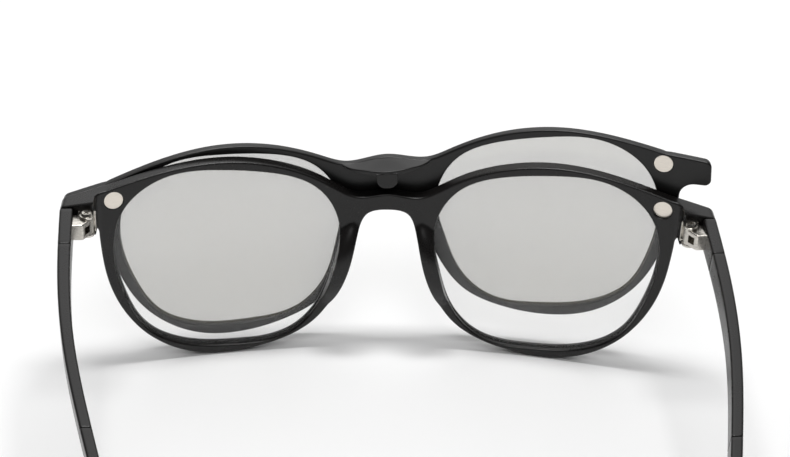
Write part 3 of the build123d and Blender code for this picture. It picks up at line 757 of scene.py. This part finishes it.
def plate(line, rear, front, edge):
    """Closed plate inside a line: rings drawn out from its middle over the rear, round a
    quarter circle at each edge, and back to the middle over the front."""
    middle = line.mean(axis=0)
    slope = np.roll(line, -1, axis=0) - np.roll(line, 1, axis=0)
    inward = unit(np.stack((-slope[:, 1], slope[:, 0]), 1))
    inward = inward * np.sign(np.sum(inward * (middle - line), axis=1, keepdims=True)) * edge
    drawn, bend = line + inward, np.linspace(0, math.pi / 2, TAB_EDGE_ROWS)
    shares = np.linspace(0, 1, TAB_RINGS)
    rows = [(middle + (drawn - middle) * share, rear) for share in shares]
    rows += [(line + inward * (1 - math.sin(a)), rear + edge * (1 - math.cos(a)))
             for a in bend[1:]]
    rows += [(line + inward * (1 - math.cos(a)), front - edge * (1 - math.sin(a)))
             for a in bend]
    rows += [(middle + (drawn - middle) * share, front) for share in shares[-2::-1]]
    return np.array([np.insert(places, 1, layer, axis=1) for places, layer in rows])


def tab():
    """Rounded tongue that hangs from the roof's rear edge for a fingertip."""
    wide = TAB_WIDE / 2
    box = np.array(((wide, ROOF_END_UNDER), (wide, -TAB_DROP), (-wide, -TAB_DROP),
                    (-wide, ROOF_END_UNDER)))
    arcs = [rounded_corner(*box[i - 1:i + 2], TAB_ROUND) for i in (1, 2)]
    line = filled(np.vstack((box[:1], *arcs, box[3:], box[:1])), TAB_STEP)[:-1]
    return plate(line, ROOF_BACK, ROOF_BACK + TAB_THICK, TAB_EDGE)


clip = moulded("clip", *both_halves(half_rim(
    CLIP_BROW, np.vstack((CLIP_RIM, CLIP_ARCH)), (CLIP_HALF, CLIP_TOP, CLIP_LONG),
    (CLIP_EYE_CENTRE, CLIP_EYE_WIDTH, CLIP_EYE_HEIGHT, CLIP_GROOVE_DEEP, CLIP_GROOVE_WIDE),
    CLIP_REAR, CLIP_FRONT, clip_height), hung))
trimmed(clip, "UNION", *[moulded("extra", (hung(points), grid_faces(points.shape)))
                         for points in (roof(), tab())])
trimmed(clip, "DIFFERENCE", *bore(CLIP_MAGNET_X * WRAP / (WRAP + CLIP_REAR), CLIP_MAGNET_HEIGHT,
                                  CLIP_REAR, CLIP_REAR + CLIP_DISC, hung))
clip_skin = black_plastic("clip plastic", dark=(0.0055, 0.0052, 0.0051),
                          light=(0.0085, 0.0080, 0.0078), gloss=0.25)
dress(clip, clip_skin, "clip", "clip_plastic", "clip_frame")


# Hinges: stamped and plated steel, one leaf let into the front's block and one into the
# temple's head, with a screw as the pin. The plating is satin and dull in places, and the
# leaves' edges are tumbled round.
STREAK_WAVES, STREAK_STRETCH, STREAK_GLOSS, STREAK_DEEP = 900.0, (1.0, 1.0, 12.0), 0.16, 0.00003
LEAF_EDGE, LEAF_FLAT, LEAF_CORNER = 0.00013, math.radians(1), math.radians(40)


def steel(name, tone, dulled, gloss):
    """Plated metal with fine streaks, partly dulled to a share of its tone."""
    metal = Finish(name, Metallic=1.0)
    streak = metal.speckle(metal.place(STREAK_STRETCH), STREAK_WAVES, detail=3.0)
    metal.drive("Base Color", metal.tint(streak, ((0.3, tuple(dulled * c for c in tone)),
                                                  (0.6, tone))))
    metal.drive("Roughness", gloss + STREAK_GLOSS * streak)
    metal.relief(streak, STREAK_DEEP, strength=0.2)
    return metal.material


def coat(node, material):
    """Give a CAD piece its finish."""
    piece = frame["nodes"][node]
    piece.data.materials.clear()
    piece.data.materials.append(material)


def leaf_copy(node, name):
    """Copy of a CAD leaf, its loose triangles merged into flats and its edges rounded."""
    mesh = frame["nodes"][node].data.copy()
    work = bmesh.new()
    work.from_mesh(mesh)
    bmesh.ops.remove_doubles(work, verts=work.verts, dist=WELD)
    bmesh.ops.dissolve_limit(work, angle_limit=LEAF_FLAT, verts=work.verts, edges=work.edges)
    work.to_mesh(mesh)
    work.free()
    piece = bpy.data.objects.new(name, mesh)
    bpy.context.scene.collection.objects.link(piece)
    edges = piece.modifiers.new("edges", "BEVEL")
    edges.width, edges.segments, edges.angle_limit = LEAF_EDGE, 2, LEAF_CORNER
    return soften(piece)


hinge_steel = steel("hinge steel", tone=(0.66, 0.63, 0.58), dulled=0.5, gloss=0.13)
for side in TURNS:
    coat(f"hinge_screw_{side}", hinge_steel)
    for leaf, body in (("front", "front"), ("temple", f"temple_{side}")):
        piece = leaf_copy(f"{leaf}_hinge_{side}", f"{side}_{leaf}_leaf")
        dress(piece, hinge_steel, body, "hinge_metal", f"{leaf}_hinge_{side}")


# Magnets: small discs of nickel-plated magnet glued into the rims and into the clip, flush
# with the faces that meet. The plating is a warm white, brushed very finely.
magnet_skin = steel("magnet plating", tone=(0.87, 0.81, 0.73), dulled=0.92, gloss=0.34)
for node in frame["nodes"]:
    if "magnet" in node:
        coat(node, magnet_skin)


# Lenses: thin bent panes without power, held in the groove of each rim. The glasses' own are
# clear, and the clip's have a light grey cast. Each pane is a closed shell, so it is looked
# through twice.
HAZE_WAVES, HAZE_SHARE = 40.0, 0.97


def pane(name, tone, alpha):
    """Thin glossy pane whose cast drifts a very little."""
    glass = Finish(name, Roughness=0.04, IOR=1.5, Alpha=alpha)
    haze = glass.speckle(glass.place(), HAZE_WAVES)
    glass.drive("Base Color", glass.tint(haze, ((0.3, tuple(HAZE_SHARE * c for c in tone)),
                                                (0.7, tone))))
    return glass.material


clear_glass = pane("clear lens", tone=(0.60, 0.60, 0.595), alpha=0.09)
clip_glass = pane("clip lens", tone=(0.32, 0.295, 0.205), alpha=0.265)
for node in frame["nodes"]:
    if "lens" in node:
        coat(node, clip_glass if node.startswith("clip") else clear_glass)


# Table and light: a matt white table top that the glasses stand on, in a plain white room. A
# soft lamp hangs over it, and two patches of the walls are brighter, one ahead and one behind
# the camera. They draw the streaks on the black plastic.
REACH, MOTTLE_WAVES, TABLE_TONES = 3.0, 9.0, ((0.3, 0.905), (0.7, 0.915))
FAR_WHITE = (0.08, 0.0), (0.25, 0.08), (1.0, 0.7)
ROOM_LEVEL, WHITE = 0.06, (1.0, 1.0, 1.0, 1.0)
AHEAD_WAY, AHEAD_TIGHT, AHEAD_LEVEL = (0.0, 0.72, 0.69), 6.0, 1.7
ABOVE_WAY, ABOVE_TIGHT, ABOVE_LEVEL = (0.0, -0.5, 0.8), 44.0, 5.0
LAMP_WIDE, LAMP_DEEP, LAMP_POWER = 0.4, 0.12, 3.9
LAMP_PLACE, LAMP_TILT = (0.0, 0.12, 0.8), math.radians(-9)


def white_table():
    """White board. What lies far off is lifted to white for the camera alone."""
    table = Finish("white table", Roughness=0.9, Specular_IOR_Level=0.1, Emission_Strength=1.0)
    spot = table.place()
    table.drive("Base Color", table.tint(table.speckle(spot, MOTTLE_WAVES), TABLE_TONES))
    away = table.node("ShaderNodeVectorMath", {"operation": "LENGTH"}, {0: spot}, out="Value")
    seen = table.node("ShaderNodeLightPath", {}, {}, out="Is Camera Ray")
    table.drive("Emission Color", table.tint(away, FAR_WHITE) * seen)
    return table.material


def flat_sheet(name, points, material):
    """One four-cornered face."""
    mesh = bpy.data.meshes.new(name)
    mesh.from_pydata([tuple(p) for p in points], [], [(0, 1, 2, 3)])
    mesh.materials.append(material)
    sheet = bpy.data.objects.new(name, mesh)
    bpy.context.scene.collection.objects.link(sheet)
    return sheet


floor = flat_sheet("table", ((-REACH, -REACH, 0), (REACH, -REACH, 0), (REACH, REACH, 0),
                             (-REACH, REACH, 0)), white_table())


def glow(room, way, tightness, strength):
    """Soft patch of light in the room's walls: the cosine of the angle from its middle, raised
    to a power, times a strength."""
    facing = room.node("ShaderNodeTexCoord", {}, {}, out="Generated")
    way = tuple(np.array(way) / np.linalg.norm(way))
    near = room.node("ShaderNodeVectorMath", {"operation": "DOT_PRODUCT"}, {0: facing, 1: way},
                     out="Value")
    return near.maths("MAXIMUM", near, 0.0) ** tightness * strength


world = bpy.data.worlds.new("room")
bpy.context.scene.world = world
room = Bench(world)
walls = next(n for n in room.tree.nodes if n.type == "BACKGROUND")
walls.inputs["Color"].default_value = WHITE
lit = (ROOM_LEVEL + glow(room, AHEAD_WAY, AHEAD_TIGHT, AHEAD_LEVEL)
       + glow(room, ABOVE_WAY, ABOVE_TIGHT, ABOVE_LEVEL))

# The camera sees the walls plain white
seen = room.node("ShaderNodeLightPath", {}, {}, out="Is Camera Ray")
room.tree.links.new((lit + seen * (1.0 - lit)).socket, walls.inputs["Strength"])

lamp = bpy.data.objects.new("soft box", bpy.data.lights.new("soft box", "AREA"))
lamp.data.shape = "RECTANGLE"
lamp.data.size, lamp.data.size_y = LAMP_WIDE, LAMP_DEEP
lamp.data.energy = LAMP_POWER
lamp.location = LAMP_PLACE
lamp.rotation_euler = (LAMP_TILT, 0, 0)
bpy.context.scene.collection.objects.link(lamp)
bpy.context.scene.view_settings.view_transform = "Standard"
